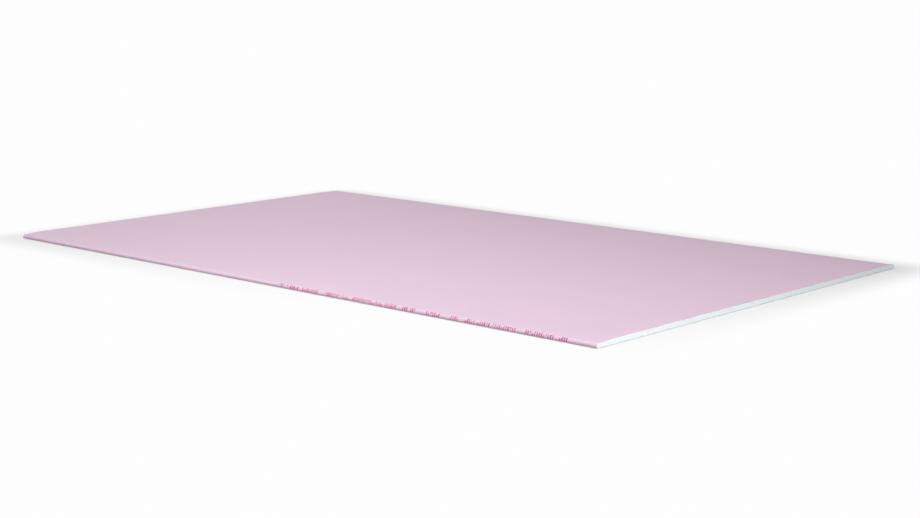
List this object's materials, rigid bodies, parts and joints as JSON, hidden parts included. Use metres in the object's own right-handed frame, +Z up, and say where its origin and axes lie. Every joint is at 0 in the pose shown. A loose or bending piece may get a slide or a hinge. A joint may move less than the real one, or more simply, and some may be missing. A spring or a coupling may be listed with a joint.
{
  "type": "drywall sheet",
  "caption": "Flat gypsum board with a pink paper face, tapered half-round long edges and square-cut white ends, for lining walls and ceilings.",
  "frame": {"origin": "middle of the back face, at floor level", "axes": "+X along the length, +Y across the width, +Z up through the thickness to the paper face"},
  "size_m": [2, 1.2, 0.0125],
  "materials": {
    "face_paper": "matt pink liner paper, calendered along the length",
    "back_paper": "matt grey-brown recycled liner paper",
    "gypsum": "bare cut gypsum, fine pored and chalky"
  },
  "bodies": {
    "root": {"drywall_sheet": "face_paper"}
  },
  "joints": []
}
